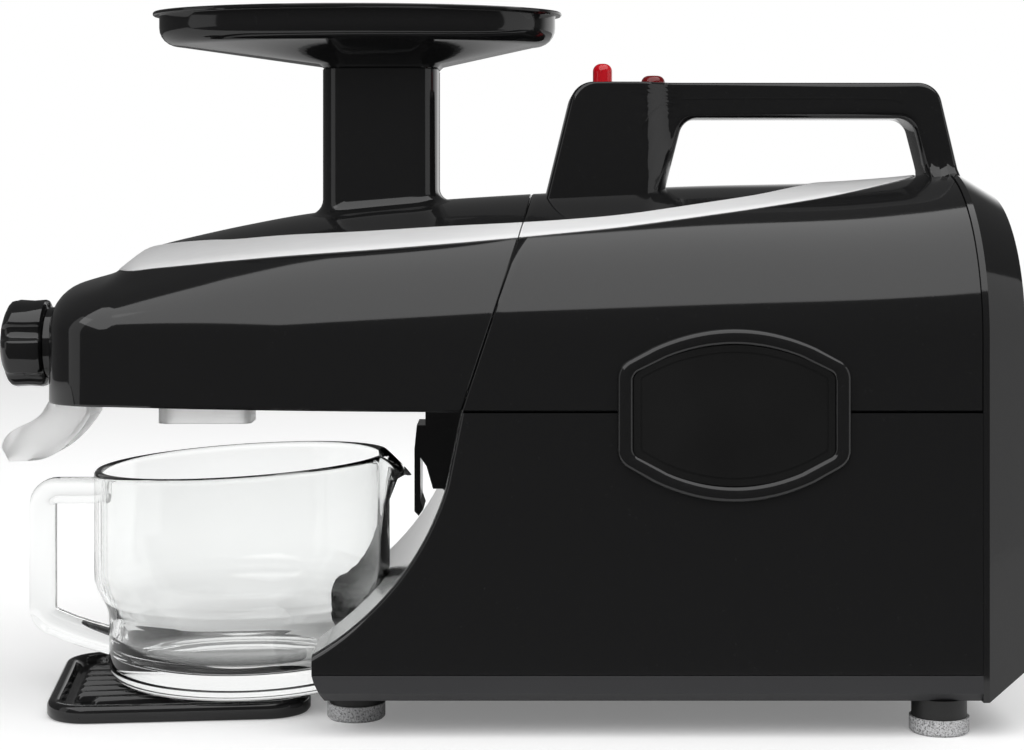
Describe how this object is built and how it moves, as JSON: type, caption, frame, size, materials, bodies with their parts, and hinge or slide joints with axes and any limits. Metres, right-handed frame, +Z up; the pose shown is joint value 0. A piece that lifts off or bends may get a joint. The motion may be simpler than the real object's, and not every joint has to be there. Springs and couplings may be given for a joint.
{
  "type": "cold press juicer",
  "caption": "Horizontal twin-gear cold press juicer with carry handle, hopper tray, outlet knob, glass pitcher and drip tray.",
  "frame": {"origin": "on the ground, under the middle of the machine's bounding box", "axes": "+X towards the rear cover, +Y towards the far side, +Z up"},
  "size_m": [0.4639, 0.1767, 0.3195],
  "materials": {
    "gloss_black": "high gloss moulded ABS",
    "satin_grey": "fine satin moulded ABS",
    "trim_silver": "bright brushed",
    "badge_black": "gloss",
    "red_lens": "translucent gloss",
    "foot_rubber": "speckled rubber",
    "frosted_white": "frosted translucent",
    "clear_glass": "polished",
    "steel": "machined",
    "cast_metal": "as cast",
    "winding_copper": "enamelled copper wire",
    "bearing_bronze": "sintered",
    "black_rubber": "matt",
    "switch_black": "satin"
  },
  "bodies": {
    "base": {"upper_body_shell": "gloss_black", "lower_body_shell": "gloss_black", "base_plate": "satin_grey", "rear_cover": "gloss_black", "carry_handle": "gloss_black", "grip_cover": "gloss_black", "body_trim_strip": "trim_silver", "badge_bezel": "badge_black", "badge_plate": "badge_black", "lock_spring": "steel", "indicator_lens": "red_lens", "foot_stems": "switch_black", "foot_pads": "foot_rubber", "foot_screws": "steel", "switch_frame": "switch_black", "inlet_socket": "switch_black", "inlet_pins": "steel", "strainer_hook": "gloss_black", "gearbox_cover": "cast_metal", "gearbox_case": "cast_metal", "gearbox_bearings": "bearing_bronze", "drive_seal": "black_rubber", "idle_pin": "steel", "motor_stator": "steel", "motor_windings": "winding_copper", "motor_front_bell": "cast_metal", "motor_rear_bell": "cast_metal", "motor_cradle": "cast_metal", "run_capacitor": "satin_grey"},
    "rotor": {"motor_rotor": "steel", "motor_pinion": "steel", "cooling_fan": "switch_black"},
    "idler": {"idler_shaft": "steel", "first_gear": "steel"},
    "output": {"output_shaft": "steel", "output_gear": "steel"},
    "juicing_head": {"juicing_housing": "gloss_black", "housing_trim_strip": "trim_silver", "screen_holder": "frosted_white", "juice_screen": "steel", "pulp_outlet_casing": "gloss_black", "pulp_chute": "frosted_white", "gear_bushes": "bearing_bronze"},
    "gear_left": {"twin_gear_left": "steel"},
    "gear_right": {"twin_gear_right": "steel"},
    "knob": {"outlet_knob": "gloss_black"},
    "hopper": {"hopper_tray": "gloss_black"},
    "lock": {"lock_button": "red_lens"},
    "rocker": {"power_rocker": "switch_black"},
    "pitcher": {"glass_pitcher": "clear_glass"},
    "tray": {"drip_tray": "gloss_black"}
  },
  "joints": [
    {"name": "head_slide", "type": "slide", "parent": "base", "child": "juicing_head", "axis": [-1, 0, 0], "range_m": [0, 0.2]},
    {"name": "hopper_lift", "type": "slide", "parent": "juicing_head", "child": "hopper", "axis": [0, 0, 1], "range_m": [0, 0.06]},
    {"name": "knob_turn", "type": "hinge", "parent": "juicing_head", "child": "knob", "pos_m": [-0.22, 0, 0.1644], "axis": [1, 0, 0], "range_deg": [-360, 360]},
    {"name": "rotor_spin", "type": "hinge", "parent": "base", "child": "rotor", "pos_m": [0.1, 0, 0.092], "axis": [1, 0, 0], "continuous": true},
    {"name": "idler_spin", "type": "hinge", "parent": "base", "child": "idler", "pos_m": [0.04, -0.00151, 0.12797], "axis": [1, 0, 0], "continuous": true},
    {"name": "output_spin", "type": "hinge", "parent": "base", "child": "output", "pos_m": [0.03, 0.015, 0.1644], "axis": [1, 0, 0], "continuous": true},
    {"name": "gear_right_spin", "type": "hinge", "parent": "juicing_head", "child": "gear_right", "pos_m": [-0.09, 0.015, 0.1644], "axis": [1, 0, 0], "continuous": true},
    {"name": "gear_left_spin", "type": "hinge", "parent": "juicing_head", "child": "gear_left", "pos_m": [-0.09, -0.015, 0.1644], "axis": [1, 0, 0], "continuous": true},
    {"name": "lock_press", "type": "slide", "parent": "base", "child": "lock", "axis": [0, 0, -1], "range_m": [0, 0.005], "stiffness_N_per_m": 500, "springref_m": -0.002, "deforming": ["lock_spring"]},
    {"name": "rocker_tilt", "type": "hinge", "parent": "base", "child": "rocker", "pos_m": [0.2285, -0.038, 0.07], "axis": [0, 1, 0], "range_deg": [-9, 9]},
    {"name": "tray_slide", "type": "slide", "parent": "base", "child": "tray", "axis": [-1, 0, 0], "range_m": [0, 0.2]},
    {"name": "pitcher_slide", "type": "slide", "parent": "tray", "child": "pitcher", "axis": [-1, 0, 0], "range_m": [0, 0.2]}
  ],
  "couplings": [
    {"joint": "idler_spin", "follows": "rotor_spin", "ratio": -0.2},
    {"joint": "output_spin", "follows": "rotor_spin", "ratio": 0.05},
    {"joint": "gear_right_spin", "follows": "rotor_spin", "ratio": 0.05},
    {"joint": "gear_left_spin", "follows": "rotor_spin", "ratio": -0.05}
  ]
}
